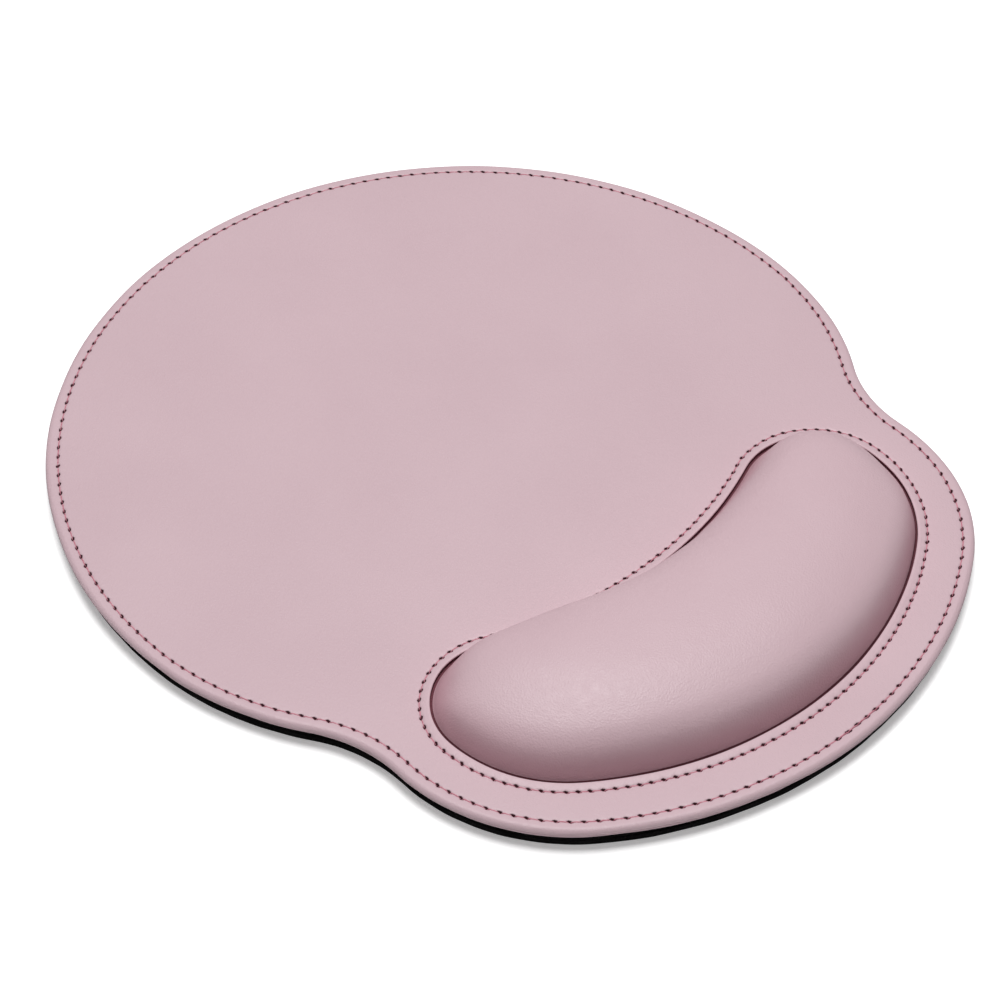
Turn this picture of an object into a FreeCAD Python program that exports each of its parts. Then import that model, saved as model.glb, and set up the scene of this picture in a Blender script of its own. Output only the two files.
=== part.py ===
"""A stitched leatherette mouse pad with a built-in wrist rest, in millimetres.

The pad lies on z = 0 with +X to the user's right, +Y away from the user and +Z up.
The wrist cushion is on the user's side, at -Y. The origin is the middle of the
underside, and the pad is symmetric about the plane X = 0.
"""
import FreeCAD, Part
import math
import os

from FreeCAD import Vector

# Pad outline, right half: a big disc, a shoulder, a hollow waist and a lobe.
PAD_HALF_LENGTH = 128.9
DISC_RADIUS = 113.0
SHOULDER_RADIUS = 87.0
SHOULDER_START_DEG = -3.4
WAIST_RADIUS = 41.0
LOBE_RADIUS = 57.0
LOBE_X = 33.6
LOBE_Y = -61.0

# Cushion seam, right half: a near side, a side, a tip and a dip on the far side.
KIDNEY_NEAR_Y = -116.2
KIDNEY_SIDE_RADIUS = 41.5
KIDNEY_TIP_RADIUS = 23.0
KIDNEY_TIP_X = 55.2
KIDNEY_TIP_Y = -62.2
KIDNEY_DIP_Y = -50.9

# Layers, from the underside up.
RUBBER_THICKNESS = 2.0
FOAM_THICKNESS = 3.2
LEATHER_THICKNESS = 0.7
BOARD_THICKNESS = 0.6
BASE_INSET = 1.7

# Face cover: folded over the board's edge, turned under it and sewn.
HEM_WIDTH = 12.0
RIM_TOP_ROUND = 1.2
RIM_BOTTOM_ROUND = 0.4
LIP_WIDTH = 2.6
LIP_ROUND = 0.3
FIT_GAP = 0.3

# Cushion: a domed skin with a flat flange, over a foam core.
CUSHION_HEIGHT = 18.0
FLANGE_WIDTH = 5.5
SKIN_THICKNESS = 1.0
CORE_GAP = 0.1
CROWN_REACH = 18.0
CROWN_TOP_INSET = 15.0
CROWN_POWER = 3
CROWN_RINGS = 7

# Seams: a needle thread above and a bobbin thread below, each flush in a pressed groove.
RIM_SEAM_INSET = 3.3
THREAD_DIAMETER = 0.4
GROOVE_WIDTH = 0.5

# Levels that follow from the thicknesses.
FOAM_Z = RUBBER_THICKNESS
HEM_Z = FOAM_Z + FOAM_THICKNESS
BOARD_Z = HEM_Z + LEATHER_THICKNESS
COVER_Z = BOARD_Z + BOARD_THICKNESS
FACE_Z = COVER_Z + LEATHER_THICKNESS
CUSHION_TOP_Z = FACE_Z + CUSHION_HEIGHT
TOP_THREAD_Z = FACE_Z - THREAD_DIAMETER

# Outward offsets from the cushion seam.
OPENING_OFFSET = -LIP_WIDTH
DOME_OFFSET = OPENING_OFFSET - FIT_GAP
CORE_OFFSET = DOME_OFFSET - SKIN_THICKNESS - CORE_GAP


class Circle:
    """A circle of a tangent chain: bulge is 1 where the outline is convex, -1 where hollow."""

    def __init__(self, x, y, radius, bulge):
        self.centre = Vector(x, y, 0)
        self.radius = radius
        self.bulge = bulge

    def offset(self, outward):
        """The circle that follows when the outline moves outward."""
        radius = self.radius + self.bulge * outward
        return Circle(self.centre.x, self.centre.y, radius, self.bulge)

    def toward(self, place):
        """The point of the circle nearest to a place."""
        return self.centre + (place - self.centre).normalize() * self.radius


def circle_on_axis(low_y, other, bulge):
    """The circle centred on X = 0 with its lowest point at low_y that touches another.

    A convex one holds the other inside it, and a hollow one touches it from outside.
    """
    drop = low_y - other.centre.y
    reach = other.centre.x ** 2 + drop ** 2 - other.radius ** 2
    radius = -reach / (2 * (drop + bulge * other.radius))
    return Circle(0, low_y + radius, radius, bulge)


def circle_inside(outer, radius, angle_deg):
    """A smaller circle that touches another from inside at an angle."""
    angle = math.radians(angle_deg)
    shift = outer.radius - radius
    x = outer.centre.x + shift * math.cos(angle)
    y = outer.centre.y + shift * math.sin(angle)
    return Circle(x, y, radius, 1)


def circle_between(lower, upper, radius):
    """The hollow circle on the +X side that touches two others from outside."""
    span = upper.centre - lower.centre
    near = lower.radius + radius
    far = upper.radius + radius
    along = (span.Length ** 2 + near ** 2 - far ** 2) / (2 * span.Length)
    across = math.sqrt(near ** 2 - along ** 2)
    direction = Vector(span).normalize()
    right = Vector(direction.y, -direction.x, 0)
    centre = lower.centre + direction * along + right * across
    return Circle(centre.x, centre.y, radius, -1)


def pad_chain():
    """The circles of the pad outline, from its nearest point to its farthest."""
    disc = Circle(0, PAD_HALF_LENGTH - DISC_RADIUS, DISC_RADIUS, 1)
    shoulder = circle_inside(disc, SHOULDER_RADIUS, SHOULDER_START_DEG)
    lobe = Circle(LOBE_X, LOBE_Y, LOBE_RADIUS, 1)
    waist = circle_between(lobe, shoulder, WAIST_RADIUS)
    near = circle_on_axis(-PAD_HALF_LENGTH, lobe, 1)
    return [near, lobe, waist, shoulder, disc]


def kidney_chain():
    """The circles of the cushion seam, from its nearest point to its far dip."""
    tip = Circle(KIDNEY_TIP_X, KIDNEY_TIP_Y, KIDNEY_TIP_RADIUS, 1)
    side_x = KIDNEY_TIP_X + KIDNEY_TIP_RADIUS - KIDNEY_SIDE_RADIUS
    side = Circle(side_x, KIDNEY_TIP_Y, KIDNEY_SIDE_RADIUS, 1)
    near = circle_on_axis(KIDNEY_NEAR_Y, side, 1)
    dip = circle_on_axis(KIDNEY_DIP_Y, tip, -1)
    return [near, side, tip, dip]


def touch_point(first, second):
    """Where two neighbouring circles of a chain touch."""
    if first.bulge != second.bulge:
        return first.toward(second.centre)
    outer, inner = sorted((first, second), key=lambda c: c.radius, reverse=True)
    return outer.toward(inner.centre)


def on_axis(circle, side):
    """The circle's point on X = 0: side is 1 for the chain's far end, -1 for its near end."""
    return circle.centre + Vector(0, side * circle.bulge * circle.radius, 0)


def arc(circle, start, end, z):
    """The arc of a circle between two of its points, less than half a turn, at a level."""
    middle = circle.toward((start + end) * 0.5)
    rise = Vector(0, 0, z)
    return Part.Arc(start + rise, middle + rise, end + rise).toShape()


def loop(chain, outward, z):
    """The closed outline of a chain and its mirror image, moved outward, at a level."""
    circles = [circle.offset(outward) for circle in chain]
    joints = [on_axis(circles[0], -1)]
    joints += [touch_point(a, b) for a, b in zip(circles, circles[1:])]
    joints.append(on_axis(circles[-1], 1))
    right = [arc(c, a, b, z) for c, a, b in zip(circles, joints, joints[1:])]
    left = [edge.mirror(Vector(0, 0, 0), Vector(1, 0, 0)) for edge in reversed(right)]
    return Part.Wire(right + left)


def slab(chain, outward, low_z, high_z):
    """A plate with the outline of a chain, between two levels."""
    return Part.Face(loop(chain, outward, low_z)).extrude(Vector(0, 0, high_z - low_z))


def thread(chain, outward, low_z):
    """A round thread that follows a chain all the way round, with its underside at low_z."""
    z = low_z + THREAD_DIAMETER / 2
    path = loop(chain, outward, z)
    start = on_axis(chain[0].offset(outward), -1) + Vector(0, 0, z)
    section = Part.Circle(start, Vector(1, 0, 0), THREAD_DIAMETER / 2).toShape()
    return path.makePipeShell([Part.Wire(section)], True, True)


def groove(chain, outward, low_z):
    """The channel that such a thread presses into the leather."""
    high_z = low_z + THREAD_DIAMETER
    outer = slab(chain, outward + GROOVE_WIDTH / 2, low_z, high_z)
    return outer.cut(slab(chain, outward - GROOVE_WIDTH / 2, low_z, high_z))


def edges_at(solid, z, chain, outward):
    """The edges of a solid that lie on a chain's outline at a level."""
    outline = loop(chain, outward, z)
    on_level = [e for e in solid.Edges if abs(e.BoundBox.ZMin - z) < 1e-6]
    on_level = [e for e in on_level if abs(e.BoundBox.ZMax - z) < 1e-6]
    return [e for e in on_level if outline.distToShape(e)[0] < 1e-6]


def crown(inset):
    """The height of the dome at an inset from its foot, up to 1."""
    return 1 - (1 - inset / CROWN_REACH) ** CROWN_POWER


def dome(outward, low_z, high_z):
    """A pillow on the cushion outline: a steep foot that rounds over to a flat top."""
    full = crown(CROWN_TOP_INSET)
    rings = []
    for index in range(CROWN_RINGS):
        inset = CROWN_TOP_INSET * (index / (CROWN_RINGS - 1)) ** 2
        z = low_z + (high_z - low_z) * crown(inset) / full
        rings.append(loop(KIDNEY, outward - inset, z))
    return Part.makeLoft(rings, True, False)


PAD = pad_chain()
KIDNEY = kidney_chain()


def make_rubber_base():
    """The black non-slip sheet that the pad stands on."""
    return slab(PAD, -BASE_INSET, 0, FOAM_Z)


def make_base_foam():
    """The black foam sheet, with a plateau that fills the space inside the hem."""
    sheet = slab(PAD, -BASE_INSET, FOAM_Z, HEM_Z)
    plateau = slab(PAD, -HEM_WIDTH - FIT_GAP, HEM_Z, BOARD_Z)
    return sheet.fuse(plateau).removeSplitter()


def make_backing_board():
    """The thin stiffener, cut out round the cushion's flange."""
    board = slab(PAD, -LEATHER_THICKNESS, BOARD_Z, COVER_Z)
    return board.cut(slab(KIDNEY, FLANGE_WIDTH + FIT_GAP, BOARD_Z, COVER_Z))


def make_top_cover():
    """The face cover: one skin over the board, with its hem turned under the edge."""
    cover = slab(PAD, 0, HEM_Z, FACE_Z)
    cover = cover.makeFillet(RIM_TOP_ROUND, edges_at(cover, FACE_Z, PAD, 0))
    cover = cover.makeFillet(RIM_BOTTOM_ROUND, edges_at(cover, HEM_Z, PAD, 0))
    cover = cover.cut(slab(PAD, -HEM_WIDTH, HEM_Z, BOARD_Z))
    cover = cover.cut(slab(PAD, -LEATHER_THICKNESS, BOARD_Z, COVER_Z))
    cover = cover.cut(slab(KIDNEY, OPENING_OFFSET, COVER_Z, FACE_Z))
    lip = edges_at(cover, FACE_Z, KIDNEY, OPENING_OFFSET)
    cover = cover.makeFillet(LIP_ROUND, lip)
    cover = cover.cut(groove(PAD, -RIM_SEAM_INSET, TOP_THREAD_Z))
    cover = cover.cut(groove(PAD, -RIM_SEAM_INSET, HEM_Z))
    return cover.cut(groove(KIDNEY, 0, TOP_THREAD_Z))


def make_cushion_cover():
    """The cushion's skin: a dome that stands up through the opening, on a flange."""
    skin = dome(DOME_OFFSET, BOARD_Z, CUSHION_TOP_Z)
    flange = slab(KIDNEY, FLANGE_WIDTH, BOARD_Z, COVER_Z)
    hollow = dome(CORE_OFFSET + CORE_GAP, BOARD_Z, CUSHION_TOP_Z - SKIN_THICKNESS)
    return skin.fuse(flange).cut(hollow).cut(groove(KIDNEY, 0, BOARD_Z))


def make_cushion_core():
    """The foam inside the cushion, on the base foam."""
    return dome(CORE_OFFSET, BOARD_Z, CUSHION_TOP_Z - SKIN_THICKNESS - CORE_GAP)


NODES = {
    "rubber_base": make_rubber_base(),
    "base_foam": make_base_foam(),
    "backing_board": make_backing_board(),
    "top_cover": make_top_cover(),
    "cushion_cover": make_cushion_cover(),
    "cushion_core": make_cushion_core(),
    "rim_needle_thread": thread(PAD, -RIM_SEAM_INSET, TOP_THREAD_Z),
    "rim_bobbin_thread": thread(PAD, -RIM_SEAM_INSET, HEM_Z),
    "cushion_needle_thread": thread(KIDNEY, 0, TOP_THREAD_Z),
    "cushion_bobbin_thread": thread(KIDNEY, 0, BOARD_Z),
}

os.makedirs("parts", exist_ok=True)
for name, shape in NODES.items():
    shape.exportStep(f"parts/{name}.step")
    box = shape.BoundBox
    print(
        f"{name}: {len(shape.Solids)} solid, valid {shape.isValid()}, "
        f"{shape.Volume / 1000:.2f} cm3, "
        f"x {box.XMin:.2f}..{box.XMax:.2f} y {box.YMin:.2f}..{box.YMax:.2f} "
        f"z {box.ZMin:.2f}..{box.ZMax:.2f}"
    )
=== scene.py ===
import math
import random

import bmesh
import bpy
import numpy as np
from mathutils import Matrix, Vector, geometry, noise


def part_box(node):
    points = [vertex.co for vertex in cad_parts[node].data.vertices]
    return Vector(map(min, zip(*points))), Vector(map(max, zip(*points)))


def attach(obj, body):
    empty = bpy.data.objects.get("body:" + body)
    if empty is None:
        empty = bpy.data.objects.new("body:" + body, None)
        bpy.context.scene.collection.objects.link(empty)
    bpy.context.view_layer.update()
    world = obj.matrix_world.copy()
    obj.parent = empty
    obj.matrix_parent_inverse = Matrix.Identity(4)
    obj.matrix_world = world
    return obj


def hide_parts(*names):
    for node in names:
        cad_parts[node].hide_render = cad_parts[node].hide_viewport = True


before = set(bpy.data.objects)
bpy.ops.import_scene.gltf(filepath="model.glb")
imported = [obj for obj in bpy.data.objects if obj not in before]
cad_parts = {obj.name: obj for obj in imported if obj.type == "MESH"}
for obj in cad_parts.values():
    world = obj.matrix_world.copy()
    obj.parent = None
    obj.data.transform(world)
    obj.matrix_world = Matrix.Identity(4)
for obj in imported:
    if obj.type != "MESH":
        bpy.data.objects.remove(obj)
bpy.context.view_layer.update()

MM = 0.001

# The rim seam and the cushion seam are chains of tangent arcs, as in the CAD model.
RIM_SEAM_INSET = 3.3 * MM
DISC_RADIUS = 113.0 * MM
SHOULDER_RADIUS = 87.0 * MM
SHOULDER_START_DEG = -3.4
WAIST_RADIUS = 41.0 * MM
LOBE_RADIUS = 57.0 * MM
LOBE_CENTRE = (33.6 * MM, -61.0 * MM)
KIDNEY_NEAR_Y = -116.2 * MM
KIDNEY_SIDE_RADIUS = 41.5 * MM
KIDNEY_TIP_RADIUS = 23.0 * MM
KIDNEY_TIP_CENTRE = (55.2 * MM, -62.2 * MM)
KIDNEY_DIP_Y = -50.9 * MM

# Levels and sizes that the frame gives.
RUBBER_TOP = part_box("rubber_base")[1].z
HEM_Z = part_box("top_cover")[0].z
FACE_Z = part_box("top_cover")[1].z
BOARD_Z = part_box("backing_board")[0].z
COVER_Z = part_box("backing_board")[1].z
CUSHION_TOP_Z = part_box("cushion_cover")[1].z
PAD_HALF_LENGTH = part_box("top_cover")[1].y
BASE_INSET = PAD_HALF_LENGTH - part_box("rubber_base")[1].y
THREAD_RADIUS = (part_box("rim_needle_thread")[1].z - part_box("rim_needle_thread")[0].z) / 2

# Sewing.
RIM_PITCH = 3.48 * MM
LIP_PITCH = 3.06 * MM
HOLE_SLANT = math.radians(24)
HOLE_HALF_LENGTH = 0.74 * MM
HOLE_HALF_WIDTH = 0.39 * MM
HOLE_DEPTH = 0.40 * MM
HOLE_WANDER = 0.06 * MM
HOLE_TURN = math.radians(5)
BACK_TACK_SHIFT = 0.14
BACK_TACK_LIFT = 0.14 * MM
LIP_WIDTH = 2.6 * MM
HEM_WIDTH = 12.0 * MM
FLANGE_WIDTH = 5.5 * MM


# ---------------------------------------------------------------- outlines

class Circle:
    """A circle of a tangent chain: bulge is 1 where the outline is convex, -1 where hollow."""

    def __init__(self, centre, radius, bulge):
        self.centre = Vector(centre)
        self.radius = radius
        self.bulge = bulge

    def offset(self, outward):
        return Circle(self.centre, self.radius + self.bulge * outward, self.bulge)

    def toward(self, place):
        return self.centre + (place - self.centre).normalized() * self.radius


def circle_on_axis(low_y, other, bulge):
    """The circle centred on X = 0, lowest at low_y, that holds another or touches it outside."""
    drop = low_y - other.centre.y
    reach = other.centre.x ** 2 + drop ** 2 - other.radius ** 2
    radius = -reach / (2 * (drop + bulge * other.radius))
    return Circle((0, low_y + radius), radius, bulge)


def circle_between(lower, upper, radius):
    """The hollow circle on the +X side that touches two others from outside."""
    span = upper.centre - lower.centre
    near = lower.radius + radius
    far = upper.radius + radius
    along = (span.length ** 2 + near ** 2 - far ** 2) / (2 * span.length)
    across = math.sqrt(near ** 2 - along ** 2)
    direction = span.normalized()
    right = Vector((direction.y, -direction.x))
    return Circle(lower.centre + direction * along + right * across, radius, -1)


def rim_chain():
    """The circles of the pad's edge, from the user's side to the far side."""
    disc = Circle((0, PAD_HALF_LENGTH - DISC_RADIUS), DISC_RADIUS, 1)
    angle = math.radians(SHOULDER_START_DEG)
    shift = (DISC_RADIUS - SHOULDER_RADIUS) * Vector((math.cos(angle), math.sin(angle)))
    shoulder = Circle(disc.centre + shift, SHOULDER_RADIUS, 1)
    lobe = Circle(LOBE_CENTRE, LOBE_RADIUS, 1)
    waist = circle_between(lobe, shoulder, WAIST_RADIUS)
    near = circle_on_axis(-PAD_HALF_LENGTH, lobe, 1)
    return [near, lobe, waist, shoulder, disc]


def kidney_chain():
    """The circles of the cushion seam, from the user's side to the dip on the far side."""
    tip = Circle(KIDNEY_TIP_CENTRE, KIDNEY_TIP_RADIUS, 1)
    side_shift = Vector((KIDNEY_SIDE_RADIUS - KIDNEY_TIP_RADIUS, 0))
    side = Circle(tip.centre - side_shift, KIDNEY_SIDE_RADIUS, 1)
    near = circle_on_axis(KIDNEY_NEAR_Y, side, 1)
    dip = circle_on_axis(KIDNEY_DIP_Y, tip, -1)
    return [near, side, tip, dip]


def touch_point(first, second):
    """Where two neighbouring circles of a chain touch."""
    if first.bulge != second.bulge:
        return first.toward(second.centre)
    outer, inner = sorted((first, second), key=lambda c: c.radius, reverse=True)
    return outer.toward(inner.centre)


class Seam:
    """A closed line of stitches, walked by length, anticlockwise from its nearest point."""

    def __init__(self, circles, pitch):
        first, last = circles[0], circles[-1]
        ends = [first.centre - Vector((0, first.bulge * first.radius))]
        ends += [touch_point(a, b) for a, b in zip(circles, circles[1:])]
        ends.append(last.centre + Vector((0, last.bulge * last.radius)))
        self.arcs = []
        self.half = 0.0
        for circle, start, end in zip(circles, ends, ends[1:]):
            from_angle = math.atan2(*(start - circle.centre).yx)
            to_angle = math.atan2(*(end - circle.centre).yx)
            turn = (circle.bulge * (to_angle - from_angle)) % (2 * math.pi)
            self.arcs.append((circle, from_angle, turn, self.half))
            self.half += circle.radius * turn
        self.length = 2 * self.half
        self.stitches = round(self.length / pitch)
        self.pitch = self.length / self.stitches

    def at(self, along):
        """Points and outward normals at lengths along the seam."""
        along = np.mod(along, self.length)
        left = along > self.half
        walked = np.where(left, self.length - along, along)
        points = np.zeros((len(walked), 2))
        normals = np.zeros((len(walked), 2))
        for circle, from_angle, turn, begin in self.arcs:
            here = walked >= begin
            angle = from_angle + circle.bulge * (walked[here] - begin) / circle.radius
            spoke = np.column_stack((np.cos(angle), np.sin(angle)))
            points[here] = np.array(circle.centre) + circle.radius * spoke
            normals[here] = circle.bulge * spoke
        mirror = np.where(left, -1.0, 1.0)
        points[:, 0] *= mirror
        normals[:, 0] *= mirror
        return points, normals

    def offset_points(self, along, outward):
        """Points beside the seam."""
        points, normals = self.at(along)
        return points + normals * np.reshape(outward, (-1, 1))


rim_seam = Seam([circle.offset(-RIM_SEAM_INSET) for circle in rim_chain()], RIM_PITCH)
kidney_seam = Seam(kidney_chain(), LIP_PITCH)
RIM_BACK_TACK = (-2.5 * MM, 14 * MM)
LIP_BACK_TACK = (kidney_seam.half - 8 * MM, kidney_seam.half - 1 * MM)


# ---------------------------------------------------------------- mesh helpers

def make_piece(name, shape, materials):
    """A smooth-shaded mesh object from what a Builder has collected."""
    mesh = bpy.data.meshes.new(name)
    mesh.from_pydata([tuple(p) for p in shape.points], [], [tuple(f) for f in shape.faces])
    for material in materials:
        mesh.materials.append(material)
    mesh.polygons.foreach_set("material_index", np.asarray(shape.slots, dtype=np.int32))
    mesh.polygons.foreach_set("use_smooth", np.ones(len(mesh.polygons), dtype=bool))
    mesh.update()
    piece = bpy.data.objects.new(name, mesh)
    bpy.context.scene.collection.objects.link(piece)
    return piece


def strip_faces(first_ring, second_ring):
    """Quads between two rings of vertex numbers that run the same way."""
    a, b = np.asarray(first_ring), np.asarray(second_ring)
    return np.column_stack((a, np.roll(a, -1), np.roll(b, -1), b)).tolist()


def wave(along, length, cycles, seed):
    """Smooth unevenness round a closed line, from -1 to 1 or so, that joins up with itself."""
    turn = 2 * math.pi * np.asarray(along) / length
    reach = cycles / (2 * math.pi)
    places = zip(np.cos(turn) * reach, np.sin(turn) * reach)
    return np.array([noise.noise(Vector((x, y, seed))) for x, y in places]) * 2


def smooth_step(value):
    """Runs smoothly from 0 to 1 as a value does."""
    value = np.clip(value, 0, 1)
    return value * value * (3 - 2 * value)


class Builder:
    """Collects rings of points, the faces between them, and how deep in a hole points are."""

    def __init__(self):
        self.points = []
        self.faces = []
        self.slots = []
        self.pierced = {}

    def ring(self, plan, heights):
        """Adds a closed ring of points and returns their numbers."""
        start = len(self.points)
        heights = np.broadcast_to(heights, len(plan))
        self.points.extend(np.column_stack((plan, heights)))
        return np.arange(start, start + len(plan))

    def skin(self, rings, slot=0):
        """Quads from each ring to the next."""
        for first, second in zip(rings, rings[1:]):
            quads = strip_faces(first, second)
            self.faces.extend(quads)
            self.slots.extend([slot] * len(quads))

    def fill(self, loops, inner_points, heights):
        """Triangles inside the first loop and outside the others, through inner points."""
        numbers = [n for loop in loops for n in loop]
        plan = [Vector(self.points[n][:2]) for n in numbers]
        edges = []
        begin = 0
        for loop in loops:
            count = len(loop)
            edges += [(begin + i, begin + (i + 1) % count) for i in range(count)]
            begin += count
        plan += [Vector(p) for p in inner_points]
        heights = np.broadcast_to(heights, len(inner_points))
        start = len(self.points)
        self.points.extend(np.array([p[0], p[1], z]) for p, z in zip(inner_points, heights))
        numbers += list(range(start, start + len(inner_points)))
        found, _, triangles, came_from, _, _ = geometry.delaunay_2d_cdt(plan, edges, [], 0, 1e-9)
        outlines = [plan_of(self, loop) for loop in loops]
        for corners in keep_between(np.array(found), triangles, outlines):
            self.faces.append([numbers[came_from[i][0]] for i in corners])
            self.slots.append(0)


def plan_of(shape, ring):
    """Where the points of a ring are, seen from above."""
    return np.array([shape.points[n][:2] for n in ring])


def keep_between(plan, triangles, outlines):
    """The triangles whose middles lie in the first outline and in none of the others."""
    triangles = np.array(triangles)
    middles = plan[triangles].mean(axis=1)
    keep = points_inside(middles, outlines[0])
    for hole in outlines[1:]:
        keep &= ~points_inside(middles, hole)
    return triangles[keep]


def points_inside(points, outline):
    """Which points lie inside a closed outline, by counting crossings to their right."""
    inside = np.zeros(len(points), dtype=bool)
    for (x0, y0), (x1, y1) in zip(outline, np.roll(outline, -1, axis=0)):
        if y0 == y1:
            continue
        spans = (points[:, 1] < y0) != (points[:, 1] < y1)
        crossing = x0 + (points[:, 1] - y0) * (x1 - x0) / (y1 - y0)
        inside ^= spans & (points[:, 0] < crossing)
    return inside


def gap_to(points, outline):
    """The distance from each point to the nearest corner of an outline."""
    spans = np.asarray(points)[:, None, :] - np.asarray(outline)[None, :, :]
    return np.sqrt((spans ** 2).sum(axis=2)).min(axis=1)


def grid_inside(outline, spacing, margin, hole=None):
    """Points of a square grid that lie inside an outline and clear of it and of a hole."""
    low, high = outline.min(axis=0), outline.max(axis=0)
    xs = np.arange(low[0], high[0], spacing)
    ys = np.arange(low[1], high[1], spacing)
    points = np.array([(x, y) for y in ys for x in xs])
    points = points[points_inside(points, outline)]
    points = points[gap_to(points, outline) > margin]
    if hole is not None:
        points = points[~points_inside(points, hole)]
        points = points[gap_to(points, hole) > margin]
    return points


def face_outward(piece):
    """Turns the faces of a closed piece outward."""
    shape = bmesh.new()
    shape.from_mesh(piece.data)
    bmesh.ops.recalc_face_normals(shape, faces=shape.faces)
    shape.to_mesh(piece.data)
    shape.free()


# ---------------------------------------------------------------- sewing

# Distances from a needle hole at which the leather has a column of points, and the rows
# beside the seam. Between the holes the columns are spread evenly.
NEAR_HOLE = np.array([0.0, 0.18, 0.38, 0.58]) * MM
MIDDLE_COLUMNS = 4
FINE_PER_HOLE = 2 * len(NEAR_HOLE) - 1 + MIDDLE_COLUMNS
COARSE_COLUMNS = [0, 4, 8]
ROWS_BESIDE = np.array([0.0, 0.13, 0.27, 0.42, 0.62, 0.95, 1.45]) * MM
FINE_ROWS = np.concatenate((ROWS_BESIDE[::-1], -ROWS_BESIDE[1:]))
HOLE_EDGE = 1.08
HOLE_SLOPE = 0.4
CHANNEL_DEPTH = 0.16 * MM
CHANNEL_WIDTH = 0.33 * MM
PUCKER_DEPTH = 0.12 * MM
PUCKER_WIDTH = 0.9 * MM
PUCKER_EVEN = 0.55
PUCKER_SWING = 0.45


class Sewing:
    """The needle holes along a seam and the columns of leather points between them."""

    def __init__(self, seam, back_tack, seed):
        chance = random.Random(seed)
        self.seam = seam
        regular = [k * seam.pitch for k in range(seam.stitches)]
        first, last = (round(place / seam.pitch) for place in back_tack)
        doubled = [(k + BACK_TACK_SHIFT) * seam.pitch for k in range(first, last)]
        self.runs = [self.pierce(regular, chance), self.pierce(doubled, chance)]
        self.holes = np.array(sorted(tuple(h) for run in self.runs for h in run))
        self.count = len(self.holes)
        self.fine = self.columns()
        self.coarse = self.fine.reshape(-1, FINE_PER_HOLE)[:, COARSE_COLUMNS].ravel()

    def pierce(self, places, chance):
        """Holes at these lengths, each a little out of place: along, across, turned by."""
        holes = []
        for place in places:
            along = (place + chance.gauss(0, HOLE_WANDER)) % self.seam.length
            across = chance.gauss(0, HOLE_WANDER / 2)
            holes.append((along, across, HOLE_SLANT + chance.gauss(0, HOLE_TURN)))
        return holes

    def gaps(self):
        """The length from each hole to the next."""
        along = self.holes[:, 0]
        return np.mod(np.roll(along, -1) - along, self.seam.length)

    def columns(self):
        """The lengths along the seam at which the leather has a column of points."""
        found = []
        shares = np.linspace(0, 1, MIDDLE_COLUMNS + 2)[1:-1]
        for along, gap in zip(self.holes[:, 0], self.gaps()):
            near = NEAR_HOLE * min(1.0, gap / (3 * NEAR_HOLE[-1]))
            middle = near[-1] + (gap - 2 * near[-1]) * shares
            far = gap - near[:0:-1]
            found.append(along + np.concatenate((near, middle, far)))
        return np.concatenate(found)

    def holes_near(self, across):
        """How deep in a needle hole each fine column is at a distance from the seam, 0 to 1."""
        index = np.arange(len(self.fine)) // FINE_PER_HOLE
        deepest = np.zeros(len(self.fine))
        for step in (0, 1):
            hole = self.holes[(index + step) % self.count]
            half = self.seam.length / 2
            along = np.mod(self.fine - hole[:, 0] + half, self.seam.length) - half
            side = across - hole[:, 1]
            turned_along = along * np.cos(hole[:, 2]) + side * np.sin(hole[:, 2])
            turned_side = side * np.cos(hole[:, 2]) - along * np.sin(hole[:, 2])
            far = np.hypot(turned_along / HOLE_HALF_LENGTH, turned_side / HOLE_HALF_WIDTH)
            deepest = np.maximum(deepest, smooth_step((HOLE_EDGE - far) / HOLE_SLOPE))
        return deepest

    def pulled_down(self, across):
        """How far the thread and the holes pull the leather down at each fine column."""
        starts = np.repeat(self.holes[:, 0], FINE_PER_HOLE)
        share = np.mod(self.fine - starts, self.seam.length) / np.repeat(self.gaps(), FINE_PER_HOLE)
        channel = CHANNEL_DEPTH * math.exp(-(across / CHANNEL_WIDTH) ** 2)
        tight = PUCKER_EVEN + PUCKER_SWING * np.cos(2 * math.pi * share)
        pucker = PUCKER_DEPTH * math.exp(-(across / PUCKER_WIDTH) ** 2) * tight
        return channel + pucker + HOLE_DEPTH * self.holes_near(across)


def thin_out(shape, fine, coarse):
    """Faces from a fine ring to a coarse one that has a point at three columns of each hole."""
    ends = COARSE_COLUMNS[1:] + [FINE_PER_HOLE]
    total = len(fine)
    for index in range(len(coarse)):
        hole, part = divmod(index, len(COARSE_COLUMNS))
        first = hole * FINE_PER_HOLE + COARSE_COLUMNS[part]
        last = hole * FINE_PER_HOLE + ends[part]
        near = [fine[k % total] for k in range(first, last + 1)]
        shape.faces.append(near + [coarse[(index + 1) % len(coarse)], coarse[index]])
        shape.slots.append(0)


def sewn_rows(shape, sewing, level_at):
    """Rings of leather across a seam, from outside to inside, with its holes noted down."""
    rings = []
    for across in FINE_ROWS:
        plan = sewing.seam.offset_points(sewing.fine, np.full(len(sewing.fine), across))
        rings.append(shape.ring(plan, level_at(across) - sewing.pulled_down(across)))
        shape.pierced.update(zip(rings[-1], sewing.holes_near(across)))
    shape.skin(rings)
    return rings[0], rings[-1]


# ---------------------------------------------------------------- the cover of the face

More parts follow.
